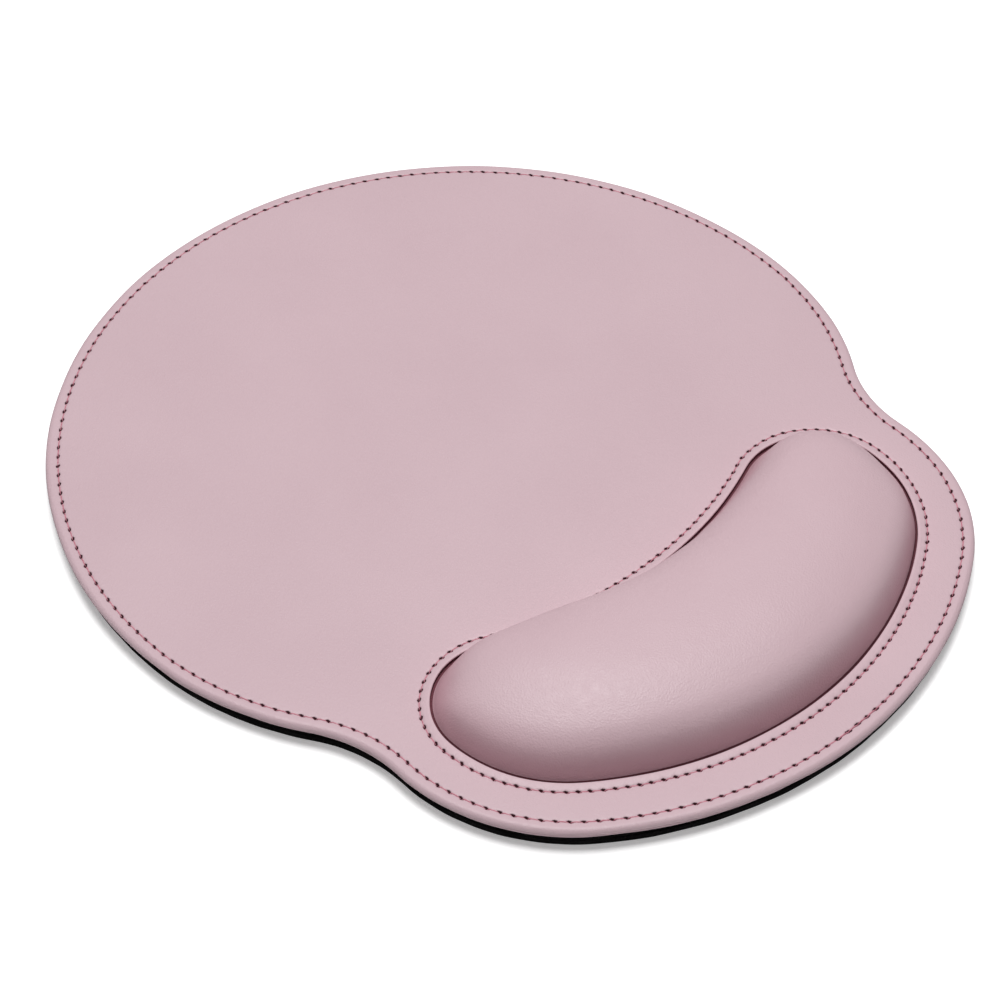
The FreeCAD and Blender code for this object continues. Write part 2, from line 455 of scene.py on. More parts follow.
RIM_ROUND = 1.4 * MM
RIM_CREASE = 0.32 * MM
RIM_CREASE_DROP = 0.08 * MM
RIM_FOOT_ROUND = 0.5 * MM
HEM_DROOP = 0.35 * MM
HEM_TUCK = 0.4 * MM
RIM_FACE_PLACE = -4 * MM
LIP_FACE_PLACE = 3 * MM
RIM_ROUND_STEPS = 6
HEM_WAVE = 0.16 * MM
EDGE_WAVE = 0.14 * MM
LIP_RISE = 0.45 * MM
LIP_ROUND = 0.3 * MM
# Material slot for the dark red cut edge of the lip. It also paints shade on the cushion's flange
# and toe in the gap beside the lip.
CUT_EDGE_AND_GAP_SHADE = 1
PIERCED = "pierced"
FACE_GRID = 6 * MM
FACE_WAVE = 0.05 * MM
FACE_WAVE_FADE = 20 * MM
FACE_WAVE_SCALE = 22


def quarter(centre_x, centre_z, radius, from_deg, to_deg, steps):
    """Points of an arc in section: distance from the seam, and height."""
    angles = np.radians(np.linspace(from_deg, to_deg, steps + 1))
    return [(centre_x + radius * math.cos(a), centre_z + radius * math.sin(a)) for a in angles]


def rim_section():
    """The rolled edge in section, from beside the rim seam round to the inside of the hem."""
    edge = RIM_SEAM_INSET
    top = quarter(edge - RIM_ROUND, FACE_Z - RIM_ROUND, RIM_ROUND, 90, 0, RIM_ROUND_STEPS)
    foot_z = HEM_Z - HEM_DROOP + RIM_FOOT_ROUND
    crease = [(edge - RIM_CREASE, FACE_Z - RIM_ROUND - RIM_CREASE_DROP)]
    foot = quarter(edge - RIM_FOOT_ROUND, foot_z, RIM_FOOT_ROUND, 55, -90, 5)
    thickness = FACE_Z - COVER_Z
    inside = [(edge - BASE_INSET + HEM_TUCK, HEM_Z - HEM_DROOP / 2), (edge - BASE_INSET, HEM_Z),
              (edge - HEM_WIDTH, HEM_Z), (edge - HEM_WIDTH, BOARD_Z),
              (edge - thickness, BOARD_Z), (edge - thickness, COVER_Z)]
    return top + crease + foot + inside


def make_rim(shape, sewing):
    """The stitched and turned edge. Returns its inner ring on the face and on the back."""
    outer, inner = sewn_rows(shape, sewing, lambda across: FACE_Z)
    seam, coarse = sewing.seam, sewing.coarse
    roll = wave(coarse, seam.length, cycles=34, seed=1.5)
    lift = wave(coarse, seam.length, cycles=46, seed=7.5)
    lift += 0.5 * wave(coarse, seam.length, cycles=120, seed=3.5)
    rings = []
    for across, level in rim_section():
        outward = EDGE_WAVE * roll * (across > RIM_SEAM_INSET - RIM_ROUND)
        low = across > RIM_SEAM_INSET - BASE_INSET and level < HEM_Z + RIM_FOOT_ROUND
        plan = seam.offset_points(coarse, across + outward)
        rings.append(shape.ring(plan, level + (HEM_WAVE * lift if low else 0)))
    thin_out(shape, outer, rings[0])
    shape.skin(rings)
    face_ring = shape.ring(seam.offset_points(coarse, np.full(len(coarse), RIM_FACE_PLACE)), FACE_Z)
    thin_out(shape, inner, face_ring)
    return face_ring, rings[-1]


def make_lip(shape, sewing):
    """The stitched lip round the opening. Returns its outer ring on the face and on the back."""
    def level_at(across):
        return FACE_Z + LIP_RISE * max(0.0, -across / LIP_WIDTH)

    outer, inner = sewn_rows(shape, sewing, level_at)
    seam, coarse = sewing.seam, sewing.coarse
    rise = level_at(-LIP_WIDTH)
    roll = wave(coarse, seam.length, cycles=24, seed=4.5) * 0.5
    section = quarter(LIP_ROUND - LIP_WIDTH, rise - LIP_ROUND, LIP_ROUND, 90, 180, 3)
    section.append((-LIP_WIDTH, COVER_Z))
    rings = []
    for across, level in section:
        plan = seam.offset_points(coarse, across + EDGE_WAVE * roll)
        rings.append(shape.ring(plan, level))
    thin_out(shape, inner, rings[0])
    shape.skin(rings[:-1])
    # The lip's cut edge: a dark red leatherette edge, kept dark partly as painted shade for the gap
    # beside it.
    shape.skin(rings[-2:], CUT_EDGE_AND_GAP_SHADE)
    face_ring = shape.ring(seam.offset_points(coarse, np.full(len(coarse), LIP_FACE_PLACE)), FACE_Z)
    thin_out(shape, outer, face_ring)
    return face_ring, rings[-1]


def make_face_cover(rim_sewing, lip_sewing):
    """The leather of the face, from the opening's lip to the hem turned under the edge."""
    shape = Builder()
    rim_face, rim_back = make_rim(shape, rim_sewing)
    lip_face, lip_back = make_lip(shape, lip_sewing)
    outline, opening = plan_of(shape, rim_face), plan_of(shape, lip_face)
    inner = grid_inside(outline, FACE_GRID, FACE_GRID / 2, opening)
    room = np.minimum(gap_to(inner, outline), gap_to(inner, opening))
    fade = np.clip(room / FACE_WAVE_FADE, 0, 1)
    swell = np.array([noise.noise(Vector((x, y, 0)) * FACE_WAVE_SCALE) for x, y in inner])
    shape.fill([rim_face, lip_face], inner, FACE_Z + FACE_WAVE * fade * swell)
    shape.fill([rim_back, lip_back], [], COVER_Z)
    cover = make_piece("face_cover", shape, [leather, cut_edge_and_gap_shade])
    depth = np.zeros(len(shape.points), dtype=np.float32)
    depth[list(shape.pierced)] = list(shape.pierced.values())
    cover.data.attributes.new(PIERCED, "FLOAT", "POINT").data.foreach_set("value", depth)
    face_outward(cover)
    return cover


# ---------------------------------------------------------------- the thread

THREAD_PLY = 0.12
THREAD_SIDES = 6
STITCH_STEPS = 12
STITCH_LEAN = 0.09 * MM
STITCH_DROP = 0.80 * MM
STITCH_DROP_WIDTH = 0.55 * MM
STITCH_LIFT = -0.20 * MM
STITCH_LIFT_WANDER = 0.02 * MM


def stitch_line(sewing, start, end, lift):
    """The middle of one stitch, from inside one needle hole to inside the next."""
    seam = sewing.seam
    length = (end[0] - start[0]) % seam.length
    share = np.linspace(0.03, 0.97, STITCH_STEPS)
    walked = share * length
    across = start[1] + (end[1] - start[1]) * share + STITCH_LEAN * (2 * share - 1)
    sink = np.exp(-(walked / STITCH_DROP_WIDTH) ** 2)
    sink += np.exp(-((length - walked) / STITCH_DROP_WIDTH) ** 2)
    plan = seam.offset_points(start[0] + walked, across)
    return np.column_stack((plan, FACE_Z + lift - STITCH_DROP * sink))


def add_tube(shape, line, radius, turn):
    """A twisted thread along a line, closed at both ends."""
    headings = np.gradient(line, axis=0)
    rings = []
    for step, (place, heading) in enumerate(zip(line, headings)):
        ahead = Vector(heading).normalized()
        side = ahead.cross(Vector((0, 0, 1))).normalized()
        up = side.cross(ahead)
        corners = []
        for k in range(THREAD_SIDES):
            angle = 2 * math.pi * (k / THREAD_SIDES + turn + step / STITCH_STEPS)
            reach = radius * (1 + THREAD_PLY * (-1) ** k)
            corners.append(Vector(place) + reach * (math.cos(angle) * side + math.sin(angle) * up))
        start = len(shape.points)
        shape.points.extend(np.array(corner) for corner in corners)
        rings.append(np.arange(start, start + THREAD_SIDES))
    shape.skin(rings)
    shape.faces.append(list(rings[0]))
    shape.faces.append(list(rings[-1]))
    shape.slots.extend([0, 0])


def make_stitches(name, sewing, seed):
    """Every stitch of a seam as its own short length of thread."""
    chance = random.Random(seed)
    shape = Builder()
    regular, doubled = sewing.runs
    pairs = [(a, b, STITCH_LIFT) for a, b in zip(regular, regular[1:] + regular[:1])]
    pairs += [(a, b, STITCH_LIFT + BACK_TACK_LIFT) for a, b in zip(doubled, doubled[1:])]
    for start, end, lift in pairs:
        line = stitch_line(sewing, start, end, lift + chance.gauss(0, STITCH_LIFT_WANDER))
        add_tube(shape, line, THREAD_RADIUS, chance.random())
    stitches = make_piece(name, shape, [thread])
    face_outward(stitches)
    return stitches


# ---------------------------------------------------------------- the cushion

# The foot's distance from the seam, on the user's side, at the ends and on the far side. It
# leaves the lip's edge clear all the way round.
NEAR_FOOT = -2.83 * MM
END_FOOT = -2.85 * MM
FAR_FOOT = -2.88 * MM
NEAR_FROM = 0.35
NEAR_REACH = 0.5
# Where the cushion is full and steep besides its near side: left of the middle of its far
# side, and at its left end.
FULL_PLACE = -30 * MM
FULL_REACH = 22 * MM
LEFT_FULL = 0.9
LEFT_FROM = 45 * MM
LEFT_REACH = 25 * MM
STEEP_FROM = 0.1
STEEP_REACH = 0.7
DOME_STEPS = np.array([0.45, 0.9, 1.4, 2.0, 2.7, 3.6, 4.8, 6.4, 8.6, 11.4]) * MM
DOME_COLUMN = 2.4 * MM
DOME_GRID = 3.2 * MM
FOOT_COLUMN = 0.6 * MM
FLANGE_FROM = 0.8 * MM
FLANGE_TO = 0.15 * MM
# The flange dips beside the lip, so that the smoothing doesn't lift it into the lip.
FLANGE_DIP = 0.22 * MM
# Points under this level are the flange and the back, which stay where they are.
HELD_UNDER_Z = COVER_Z + 0.5 * MM
CROWN_REACH = 26 * MM
# The dome's height follows the distance to its foot, taken as a smooth mean over the whole
# foot. NEARNESS is how strongly the mean favours the nearest places, and the area makes it
# the true distance beside a straight foot.
NEARNESS = 6
NEARNESS_AREA = math.sqrt(math.pi) * math.gamma(2.5) / math.gamma(3)
TIP_START = 35 * MM
TIP_END = 78 * MM
TIP_DROP = 0.14
CUSHION_WRINKLE = 0.10 * MM
WRINKLE_SCALES = (45, 110)
CLOTH_FRAMES = 20
CLOTH_QUALITY = 8
CLOTH_MASS = 0.02
CLOTH_STRETCH = 12
CLOTH_SHEAR = 6
CLOTH_BENDING = 1.5
CLOTH_PRESSURE = 4.0
CLOTH_CAP = 1.2 * MM
CLOTH_START = 0.97


class Flank:
    """One side of the cushion in section: a straight flank, a round shoulder, then a crown."""

    def __init__(self, tilt_deg, run, shoulder, crown_deg):
        self.tilt = math.radians(tilt_deg)
        self.crown = math.radians(crown_deg)
        self.run = run
        self.shoulder = shoulder
        self.centre_x = run + shoulder * math.sin(self.tilt)
        self.centre_z = run * math.tan(self.tilt) - shoulder * math.cos(self.tilt)
        self.crown_x = self.centre_x - shoulder * math.sin(self.crown)
        self.crown_z = self.centre_z + shoulder * math.cos(self.crown)
        self.top = self.height(CROWN_REACH)

    def height(self, inset):
        """The height over the foot at a distance in from it."""
        inset = np.minimum(inset, CROWN_REACH)
        across = np.clip(inset - self.centre_x, -self.shoulder, 0)
        rounded = self.centre_z + np.sqrt(self.shoulder ** 2 - across ** 2)
        beyond = inset - self.crown_x
        reach = CROWN_REACH - self.crown_x
        crowned = self.crown_z + math.tan(self.crown) * beyond * (1 - beyond / (2 * reach))
        straight = inset * math.tan(self.tilt)
        return np.where(inset < self.run, straight, np.where(beyond < 0, rounded, crowned))

    def share(self, inset):
        return self.height(inset) / self.top


NEAR_FLANK = Flank(74, 2.2 * MM, 9.6 * MM, 21)
FAR_FLANK = Flank(60, 5.6 * MM, 14 * MM, 11)


def steepness(along):
    """How steep the cushion's flank is round its foot: 1 where it is full, 0 where it slopes."""
    places, outward = kidney_seam.at(along)
    left_end = LEFT_FULL * smooth_step((-places[:, 0] - LEFT_FROM) / LEFT_REACH)
    near = smooth_step((left_end - outward[:, 1] - STEEP_FROM) / STEEP_REACH)
    full = np.exp(-((places[:, 0] - FULL_PLACE) / FULL_REACH) ** 2)
    return np.maximum(near, full)


def foot_offset(along):
    """The distance of the cushion's foot from its seam: least on the user's side."""
    _, outward = kidney_seam.at(along)
    ends = FAR_FOOT + (END_FOOT - FAR_FOOT) * steepness(along)
    return ends + (NEAR_FOOT - ends) * smooth_step((-outward[:, 1] - NEAR_FROM) / NEAR_REACH)


def dome_height(plan):
    """The height of the cushion at points seen from above."""
    along = np.arange(0, kidney_seam.length, FOOT_COLUMN)
    foot = kidney_seam.offset_points(along, foot_offset(along))
    steep = steepness(along)
    spans = plan[:, None, :] - foot[None, :, :]
    pull = ((spans ** 2).sum(axis=2) + 1e-12) ** (-NEARNESS / 2)
    total = pull.sum(axis=1)
    inset = (total * FOOT_COLUMN / NEARNESS_AREA) ** (-1 / (NEARNESS - 1))
    near_share = (pull * steep).sum(axis=1) / total
    share = near_share * NEAR_FLANK.share(inset) + (1 - near_share) * FAR_FLANK.share(inset)
    tip = smooth_step((np.abs(plan[:, 0]) - TIP_START) / (TIP_END - TIP_START))
    return BOARD_Z + (CUSHION_TOP_Z - BOARD_Z) * CLOTH_START * share * (1 - TIP_DROP * tip)


def make_cushion_shape():
    """The cushion before it is blown up: a crowned top, a flat flange and a flat back."""
    seam = kidney_seam
    shape = Builder()
    count = round(seam.length / DOME_COLUMN)
    along = np.arange(count) * seam.length / count
    foot = foot_offset(along)
    flange = [(foot, BOARD_Z), (FLANGE_WIDTH, BOARD_Z), (FLANGE_WIDTH, COVER_Z),
              (foot + FLANGE_FROM, COVER_Z), (foot + FLANGE_TO, COVER_Z - FLANGE_DIP)]
    rings = []
    for across, level in flange:
        plan = seam.offset_points(along, np.broadcast_to(across, count))
        rings.append(shape.ring(plan, level))
    for step in DOME_STEPS:
        plan = seam.offset_points(along, foot - step)
        rings.append(shape.ring(plan, dome_height(plan)))
    shape.skin(rings[:4])
    # Painted shade: the flange and toe in the gap beside the lip get the dark cut-edge colour, where
    # the pink leather there is only in shade.
    shape.skin(rings[3:6], CUT_EDGE_AND_GAP_SHADE)
    shape.skin(rings[5:])
    inner = grid_inside(plan_of(shape, rings[-1]), DOME_GRID, DOME_GRID / 2)
    shape.fill([rings[-1]], inner, dome_height(inner))
    shape.fill([rings[0]], [], BOARD_Z)
    cushion = make_piece("wrist_cushion", shape, [cushion_leather, cut_edge_and_gap_shade])
    face_outward(cushion)
    return cushion


def blow_up(cushion):
    """Swells the cushion with cloth simulation, held along its flange and its back."""
    held = cushion.vertex_groups.new(name="held")
    fixed = [v.index for v in cushion.data.vertices if v.co.z < HELD_UNDER_Z]
    held.add(fixed, 1.0, "REPLACE")
    start = [v.co.copy() for v in cushion.data.vertices]
    cloth = cushion.modifiers.new("cloth", "CLOTH")
    settings = cloth.settings
    settings.quality = CLOTH_QUALITY
    settings.mass = CLOTH_MASS
    settings.tension_stiffness = CLOTH_STRETCH
    settings.compression_stiffness = CLOTH_STRETCH
    settings.shear_stiffness = CLOTH_SHEAR
    settings.bending_stiffness = CLOTH_BENDING
    settings.effector_weights.gravity = 0
    settings.use_pressure = True
    settings.uniform_pressure_force = CLOTH_PRESSURE
    settings.vertex_group_mass = "held"
    cloth.collision_settings.use_collision = False
    cloth.point_cache.frame_end = CLOTH_FRAMES
    for step in range(1, CLOTH_FRAMES + 1):
        bpy.context.scene.frame_set(step)
    graph = bpy.context.evaluated_depsgraph_get()
    swollen = [v.co.copy() for v in cushion.evaluated_get(graph).data.vertices]
    cushion.modifiers.remove(cloth)
    cushion.vertex_groups.remove(held)
    bpy.context.scene.frame_set(1)
    for vertex, before, after in zip(cushion.data.vertices, start, swollen):
        move = after - before
        if move.length > CLOTH_CAP:
            move = move.normalized() * CLOTH_CAP
        vertex.co = before + move


def settle_height(cushion):
    """Brings the crown to the height of the frame's cushion, and wrinkles the leather a little."""
    vertices = cushion.data.vertices
    top = max(v.co.z for v in vertices)
    stretch = (CUSHION_TOP_Z - BOARD_Z) / (top - BOARD_Z)
    broad, fine = WRINKLE_SCALES
    for vertex in vertices:
        if vertex.co.z > HELD_UNDER_Z:
            vertex.co.z = BOARD_Z + (vertex.co.z - BOARD_Z) * stretch
            swell = noise.noise(vertex.co * broad) + 0.5 * noise.noise(vertex.co * fine)
            vertex.co.z += CUSHION_WRINKLE * (swell - 1)


def subdivide(piece):
    """Applies one level of smooth subdivision."""
    smooth = piece.modifiers.new("smooth", "SUBSURF")
    smooth.levels = 1
    smooth.render_levels = 1
    graph = bpy.context.evaluated_depsgraph_get()
    mesh = bpy.data.meshes.new_from_object(piece.evaluated_get(graph))
    piece.modifiers.remove(smooth)
    piece.data = mesh


def make_cushion():
    cushion = make_cushion_shape()
    blow_up(cushion)
    settle_height(cushion)
    subdivide(cushion)
    return cushion


# ---------------------------------------------------------------- the foam and the rubber

SHEET_COLUMN = 2.0 * MM
SHEET_WAVE = 0.12 * MM
SHEET_GRID = 12 * MM
FOAM_CORNER = 0.25 * MM
FOAM_BULGE = 0.1 * MM
PLATEAU_GAP = 0.3 * MM


def make_sheet(name, material, section, seed):
    """A die-cut sheet with the pad's outline, from a section of distances and heights."""
    seam = rim_seam
    shape = Builder()
    count = round(seam.length / SHEET_COLUMN)
    along = np.arange(count) * seam.length / count
    rough = wave(along, seam.length, cycles=30, seed=seed)
    rough += 0.5 * wave(along, seam.length, cycles=160, seed=seed + 5)
    rings = []
    for across, level in section:
        outward = SHEET_WAVE * rough * (across > 0)
        rings.append(shape.ring(seam.offset_points(along, across + outward), level))
    shape.skin(rings)
    for ring, (across, level) in ((rings[0], section[0]), (rings[-1], section[-1])):
        inner = grid_inside(plan_of(shape, ring), SHEET_GRID, SHEET_GRID / 2)
        shape.fill([ring], inner, level)
    sheet = make_piece(name, shape, [material])
    face_outward(sheet)
    return sheet


def make_foam_sheet():
    edge = RIM_SEAM_INSET - BASE_INSET
    corner = FOAM_CORNER
    plateau = RIM_SEAM_INSET - HEM_WIDTH - PLATEAU_GAP
    section = [(edge - corner, RUBBER_TOP), (edge, RUBBER_TOP + corner),
               (edge + FOAM_BULGE, (RUBBER_TOP + HEM_Z) / 2), (edge, HEM_Z - corner),
               (edge - corner, HEM_Z), (plateau, HEM_Z), (plateau, BOARD_Z)]
    return make_sheet("foam_sheet", foam, section, seed=2.5)


def make_rubber_sheet():
    edge = RIM_SEAM_INSET - BASE_INSET
    corner = FOAM_CORNER
    section = [(edge - 2 * corner, 0.0), (edge - corner / 2, corner / 2), (edge, 2 * corner),
               (edge, RUBBER_TOP - corner), (edge - corner, RUBBER_TOP)]
    return make_sheet("rubber_sheet", rubber, section, seed=9.5)


# ---------------------------------------------------------------- materials

LEATHER_LIGHT = (0.575, 0.418, 0.456)
LEATHER_DEEP = (0.555, 0.400, 0.438)
CUSHION_LIGHT = (0.590, 0.425, 0.464)
CUSHION_DEEP = (0.570, 0.407, 0.446)
# Painted shade and painted bounce light: the cushion's leather takes this deeper, pinker colour up
# to the lower height, fading out by the upper one.
CUSHION_PAINTED_SHADE = (0.575, 0.335, 0.385)
PAINTED_SHADE_LOW_Z = FACE_Z + 1 * MM
PAINTED_SHADE_HIGH_Z = FACE_Z + 13 * MM
# Painted shade in the needle holes.
HOLE_PAINTED_SHADE = (0.040, 0.006, 0.011)
HOLE_SHADE_FROM = 0.08
HOLE_SHADE_TO = 0.30
LEATHER_GRAIN_SCALE = 2200.0
LEATHER_SHINE = (0.40, 0.48)
LEATHER_SPECULAR = 0.36
GRAIN_DEPTH = 0.00009
DENT_DEPTH = 0.00004
THREAD_LIGHT = (0.60, 0.23, 0.29)
THREAD_DEEP = (0.44, 0.13, 0.18)
# Dark red of the lip's cut edge, also painted shade in the gap beside the lip.
CUT_EDGE_AND_SHADE_LIGHT = (0.15, 0.036, 0.052)
CUT_EDGE_AND_SHADE_DEEP = (0.09, 0.022, 0.032)
FIBRE_DEPTH = 0.00004
FOAM_DARK = (0.0030, 0.0026, 0.0028)
FOAM_PALE = (0.0080, 0.0072, 0.0076)
PORE_DEPTH = 0.00022
RUBBER_DARK = (0.0050, 0.0047, 0.0050)
RUBBER_PALE = (0.0110, 0.0104, 0.0108)
GRIP_DEPTH = 0.0005
BOARD_PALE = (0.36, 0.31, 0.25)
BOARD_DARK = (0.22, 0.19, 0.16)
PAPER_DARK = (0.86, 0.86, 0.86)
PAPER_PALE = (0.875, 0.875, 0.875)
FLOOR_GLOW = 0.35


def new_material(name):
    """An empty node material with its shader. Returns the material and the shader node."""
    material = bpy.data.materials.new(name)
    material.use_nodes = True
    return material, material.node_tree.nodes["Principled BSDF"]


def add_node(material, kind, inputs=(), **settings):
    """A node with some of its settings and inputs filled in. A socket is linked, a value is set."""
    node = material.node_tree.nodes.new(kind)
    for key, value in settings.items():
        setattr(node, key, value)
    for key, value in dict(inputs).items():
        if isinstance(value, bpy.types.NodeSocket):
            material.node_tree.links.new(value, node.inputs[key])
        else:
            node.inputs[key].default_value = value
    return node


def place_in(material):
    """The place of a point on the object, in metres."""
    return add_node(material, "ShaderNodeTexCoord").outputs["Object"]


def noise_of(material, scale, detail=2.0, roughness=0.5):
    inputs = {"Vector": place_in(material), "Scale": scale, "Detail": detail,
              "Roughness": roughness}
    return add_node(material, "ShaderNodeTexNoise", inputs).outputs["Fac"]


def between(material, share, low, high):
    """A value that runs from low to high as a share runs over the middle of a noise."""
    inputs = {"Value": share, "From Min": 0.3, "From Max": 0.7, "To Min": low, "To Max": high}
    return add_node(material, "ShaderNodeMapRange", inputs).outputs["Result"]


def colours_between(material, share, first, second):
    """A mix of two colours, each a plain one or another node's output."""
    node = add_node(material, "ShaderNodeMix", data_type="RGBA")
    links = material.node_tree.links
    links.new(share, node.inputs["Factor"])
    for socket, colour in ((node.inputs["A"], first), (node.inputs["B"], second)):
        if isinstance(colour, bpy.types.NodeSocket):
            links.new(colour, socket)
        else:
            socket.default_value = (*colour, 1)
    return node.outputs["Result"]


def bump_of(material, height, distance, strength=1.0, under=None):
    inputs = {"Height": height, "Distance": distance, "Strength": strength}
    if under is not None:
        inputs["Normal"] = under
    return add_node(material, "ShaderNodeBump", inputs).outputs["Normal"]


def connect(material, shader, **sockets):
    """Links outputs to the shader's inputs, named with underscores for spaces."""
    for key, value in sockets.items():
        material.node_tree.links.new(value, shader.inputs[key.replace("_", " ")])


def low_down(material, low_z, high_z):
    """A share that is 1 at and under one height and 0 at and over another."""
    inputs = {"Value": add_node(material, "ShaderNodeSeparateXYZ",
                                {"Vector": place_in(material)}).outputs["Z"],
              "From Min": low_z, "From Max": high_z, "To Min": 1.0, "To Max": 0.0}
    node = add_node(material, "ShaderNodeMapRange", inputs, interpolation_type="SMOOTHSTEP")
    return node.outputs["Result"]


def paint_hole_shade(material, colour, shine):
    """Paints shade into the needle holes: makes a colour dark there, and makes their shine dull."""
    depth = add_node(material, "ShaderNodeAttribute", attribute_name=PIERCED).outputs["Fac"]
    inputs = {"Value": depth, "From Min": HOLE_SHADE_FROM, "From Max": HOLE_SHADE_TO}
    inside = add_node(material, "ShaderNodeMapRange", inputs).outputs["Result"]
    hole_shaded = colours_between(material, inside, colour, HOLE_PAINTED_SHADE)
    dulled = add_node(material, "ShaderNodeMath", {0: shine, 1: inside}, operation="MAXIMUM")
    return hole_shaded, dulled.outputs["Value"]


def make_leatherette(name, light, deep, foot=None):
    """Smooth pink coated leatherette: fine pebbled grain and a soft satin shine.

    With a foot colour, the leather is painted deeper and pinker low down: painted shade and painted
    bounce light that stand in for light thrown back by the leather round it. Without one it is the
    leather with needle holes, with painted shade in them.
    """
    material, shader = new_material(name)
    blotch = noise_of(material, 28, 3.0)
    colour = colours_between(material, between(material, blotch, 0, 1), light, deep)
    shine = between(material, noise_of(material, 340, 4.0), *LEATHER_SHINE)
    if foot is None:
        # Painted shade in the needle holes.
        colour, shine = paint_hole_shade(material, colour, shine)
    else:
        # Painted shade and painted bounce light: a deeper, pinker colour low on the cushion.
        share = low_down(material, PAINTED_SHADE_LOW_Z, PAINTED_SHADE_HIGH_Z)
        colour = colours_between(material, share, colour, foot)
    cells = add_node(material, "ShaderNodeTexVoronoi",
                     {"Vector": place_in(material), "Scale": LEATHER_GRAIN_SCALE, "Randomness": 1.0},
                     feature="SMOOTH_F1")
    pebbles = bump_of(material, cells.outputs["Distance"], GRAIN_DEPTH, 0.8)
    fine = bump_of(material, noise_of(material, 5200, 2.0), GRAIN_DEPTH / 2, 0.8, pebbles)
    dents = bump_of(material, noise_of(material, 110, 3.0), DENT_DEPTH, 1.0, fine)
    connect(material, shader, Base_Color=colour, Roughness=shine, Normal=dents)
    shader.inputs["Specular IOR Level"].default_value = LEATHER_SPECULAR
    return material


def make_thread():
    """Pink polyester sewing thread: fine fibres and a faint shine."""
    material, shader = new_material("sewing_thread")
    tone = between(material, noise_of(material, 1400, 2.0), 0, 1)
    colour = colours_between(material, tone, THREAD_LIGHT, THREAD_DEEP)
    fibres = bump_of(material, noise_of(material, 9000, 3.0), FIBRE_DEPTH, 1.0)
    connect(material, shader, Base_Color=colour, Normal=fibres)
    shader.inputs["Roughness"].default_value = 0.6
    shader.inputs["Sheen Weight"].default_value = 0.2
    return material


def make_cut_edge_and_gap_shade():
    """Dark red: the leatherette's cut edge on the lip, where its backing cloth shows, kept dark
    partly as painted shade for the gap beside it; on the cushion's flange and toe in that gap it is
    painted shade only.
    """
    material, shader = new_material("dark_cut_edge_and_gap_shade")
    tone = between(material, noise_of(material, 2500, 3.0), 0, 1)
    colour = colours_between(material, tone, CUT_EDGE_AND_SHADE_LIGHT, CUT_EDGE_AND_SHADE_DEEP)
    fibres = bump_of(material, noise_of(material, 6000, 3.0), FIBRE_DEPTH, 1.0)
    connect(material, shader, Base_Color=colour, Normal=fibres)
    shader.inputs["Roughness"].default_value = 0.9
    return material


def make_foam():
    """Black cellular foam rubber with small open pores on its cut edge."""
    material, shader = new_material("black_foam")
    tone = between(material, noise_of(material, 900, 3.0), 0, 1)
    colour = colours_between(material, tone, FOAM_DARK, FOAM_PALE)
    cells = add_node(material, "ShaderNodeTexVoronoi",
                     {"Vector": place_in(material), "Scale": 1600.0}, feature="F1")
    pores = bump_of(material, cells.outputs["Distance"], PORE_DEPTH, 0.9)
    connect(material, shader, Base_Color=colour, Normal=pores,
            Roughness=between(material, tone, 0.85, 0.95))
    shader.inputs["Specular IOR Level"].default_value = 0.02
    return material


def make_rubber():
    """Black natural rubber with a fine non-slip mesh pressed in it."""
    material, shader = new_material("black_rubber")
    tone = between(material, noise_of(material, 160, 3.0), 0, 1)
    colour = colours_between(material, tone, RUBBER_DARK, RUBBER_PALE)
    cells = add_node(material, "ShaderNodeTexVoronoi",
                     {"Vector": place_in(material), "Scale": 620.0, "Randomness": 0.0},
                     feature="DISTANCE_TO_EDGE")
    grip = bump_of(material, cells.outputs["Distance"], GRIP_DEPTH, 0.9)
    fine = bump_of(material, noise_of(material, 2600, 2.0), 0.00006, 0.6, grip)
    connect(material, shader, Base_Color=colour, Normal=fine,
            Roughness=between(material, tone, 0.62, 0.78))
    shader.inputs["Specular IOR Level"].default_value = 0.06
    return material


def make_cardboard():
    """Grey board with short fibres."""
    material, shader = new_material("grey_board")
    tone = between(material, noise_of(material, 700, 5.0, 0.7), 0, 1)
    colour = colours_between(material, tone, BOARD_PALE, BOARD_DARK)
    fibres = bump_of(material, noise_of(material, 1800, 4.0), 0.00006, 0.8)
    connect(material, shader, Base_Color=colour, Normal=fibres,
            Roughness=between(material, tone, 0.85, 0.95))
    return material


def make_floor_paper():
    """Plain pale paper."""
    material, shader = new_material("pale_paper")
    tone = between(material, noise_of(material, 6, 2.0), 0, 1)
    colour = colours_between(material, tone, PAPER_DARK, PAPER_PALE)
    connect(material, shader, Base_Color=colour)
    shader.inputs["Roughness"].default_value = 1.0
    shader.inputs["Specular IOR Level"].default_value = 0.0
    shader.inputs["Emission Color"].default_value = (1.0, 1.0, 1.0, 1)
    shader.inputs["Emission Strength"].default_value = FLOOR_GLOW
    return material


leather = make_leatherette("pink_leatherette", LEATHER_LIGHT, LEATHER_DEEP)
cushion_leather = make_leatherette("cushion_leatherette", CUSHION_LIGHT, CUSHION_DEEP, CUSHION_PAINTED_SHADE)
cut_edge_and_gap_shade = make_cut_edge_and_gap_shade()
thread = make_thread()
foam = make_foam()
rubber = make_rubber()
cardboard = make_cardboard()


# ---------------------------------------------------------------- the pieces

def repaint(node, material):
    """Gives a CAD node a better material."""
    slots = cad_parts[node].data.materials
    slots.clear()
    slots.append(material)


rim_sewing = Sewing(rim_seam, RIM_BACK_TACK, seed=11)
lip_sewing = Sewing(kidney_seam, LIP_BACK_TACK, seed=23)

face_cover = make_face_cover(rim_sewing, lip_sewing)
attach(face_cover, "root")
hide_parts("top_cover")

wrist_cushion = make_cushion()
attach(wrist_cushion, "root")
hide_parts("cushion_cover", "cushion_core")

rim_stitches = make_stitches("rim_stitches", rim_sewing, seed=31)
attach(rim_stitches, "root")
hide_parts("rim_needle_thread")

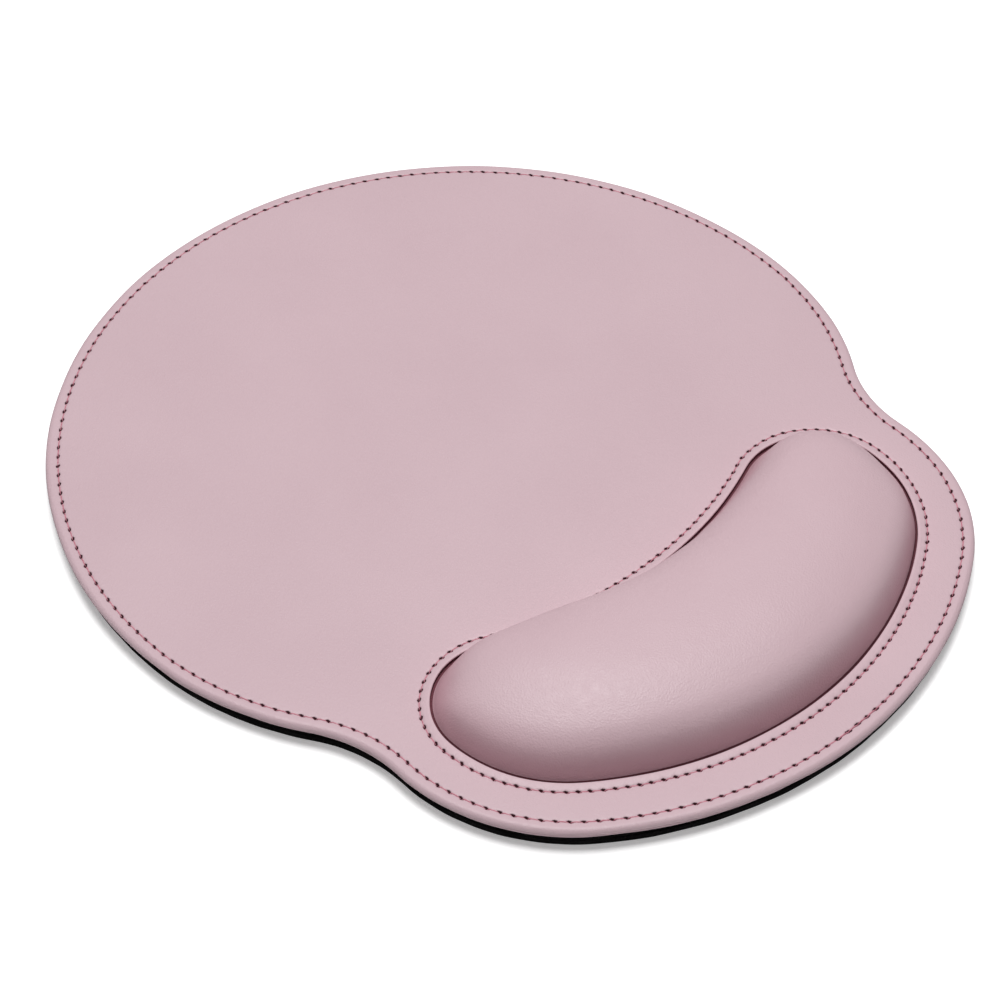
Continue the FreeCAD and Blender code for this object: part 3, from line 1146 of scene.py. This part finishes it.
cushion_stitches = make_stitches("cushion_stitches", lip_sewing, seed=47)
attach(cushion_stitches, "root")
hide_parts("cushion_needle_thread")

foam_sheet = make_foam_sheet()
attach(foam_sheet, "root")
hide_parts("base_foam")

rubber_sheet = make_rubber_sheet()
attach(rubber_sheet, "root")
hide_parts("rubber_base")

repaint("backing_board", cardboard)
repaint("rim_bobbin_thread", thread)
repaint("cushion_bobbin_thread", thread)


# ---------------------------------------------------------------- floor, light and camera

FLOOR_HALF = 2.0
WORLD_LIGHT = 0.03
WORLD_SEEN = 1.0
# Each softbox: its name, place and size in metres, and its power in watts.
SOFTBOXES = (
    ("main", (0.22, 0.28, 2.95), (1.5, 1.5), 93),
    ("overhead", (-0.37, 0.20, 3.0), (0.8, 0.8), 6),
    ("behind", (1.9, 2.1, 2.5), (3.0, 1.8), 8),
)
CAMERA_PLACE = (-0.4338, -0.4739, 0.65295)
CAMERA_PITCH_DEG = 45.72
CAMERA_AZIMUTH_DEG = 42.33
CAMERA_LENS = 122.64
CAMERA_SENSOR = 36.0
CAMERA_CLIP_START = 0.05


def make_floor():
    """A plain pale floor."""
    shape = Builder()
    half = FLOOR_HALF
    outline = [(-half, -half), (half, -half), (half, half), (-half, half)]
    ring = shape.ring(np.array(outline), 0.0)
    shape.faces.append(list(ring))
    shape.slots.append(0)
    floor = make_piece("floor", shape, [make_floor_paper()])
    floor.visible_glossy = False


def add_softbox(name, place, size, power):
    """A rectangular area light that faces the origin."""
    light = bpy.data.lights.new(name, "AREA")
    light.shape = "RECTANGLE"
    light.size, light.size_y = size
    light.energy = power
    lamp = bpy.data.objects.new(name, light)
    lamp.location = place
    lamp.rotation_euler = (-Vector(place)).to_track_quat("-Z", "Y").to_euler()
    bpy.context.scene.collection.objects.link(lamp)


def set_world(strength, seen):
    """A pale backdrop that is seen brighter than the little light it gives."""
    world = bpy.data.worlds.new("studio")
    world.use_nodes = True
    nodes, links = world.node_tree.nodes, world.node_tree.links
    background = nodes["Background"]
    background.inputs["Color"].default_value = (1.0, 1.0, 1.0, 1)
    path = nodes.new("ShaderNodeLightPath")
    shown = nodes.new("ShaderNodeMapRange")
    shown.inputs["To Min"].default_value = strength
    shown.inputs["To Max"].default_value = seen
    links.new(path.outputs["Is Camera Ray"], shown.inputs["Value"])
    links.new(shown.outputs["Result"], background.inputs["Strength"])
    bpy.context.scene.world = world


def place_camera():
    """The camera stands on the user's left and looks down at the pad."""
    camera = bpy.data.cameras.new("camera")
    camera.lens = CAMERA_LENS
    camera.sensor_width = CAMERA_SENSOR
    camera.clip_start = CAMERA_CLIP_START
    holder = bpy.data.objects.new("camera", camera)
    holder.location = CAMERA_PLACE
    pitch = math.radians(90 - CAMERA_PITCH_DEG)
    holder.rotation_euler = (pitch, 0, -math.radians(CAMERA_AZIMUTH_DEG))
    bpy.context.scene.collection.objects.link(holder)
    bpy.context.scene.camera = holder


make_floor()
set_world(WORLD_LIGHT, WORLD_SEEN)
for softbox in SOFTBOXES:
    add_softbox(*softbox)
place_camera()
bpy.context.scene.view_settings.view_transform = "Standard"
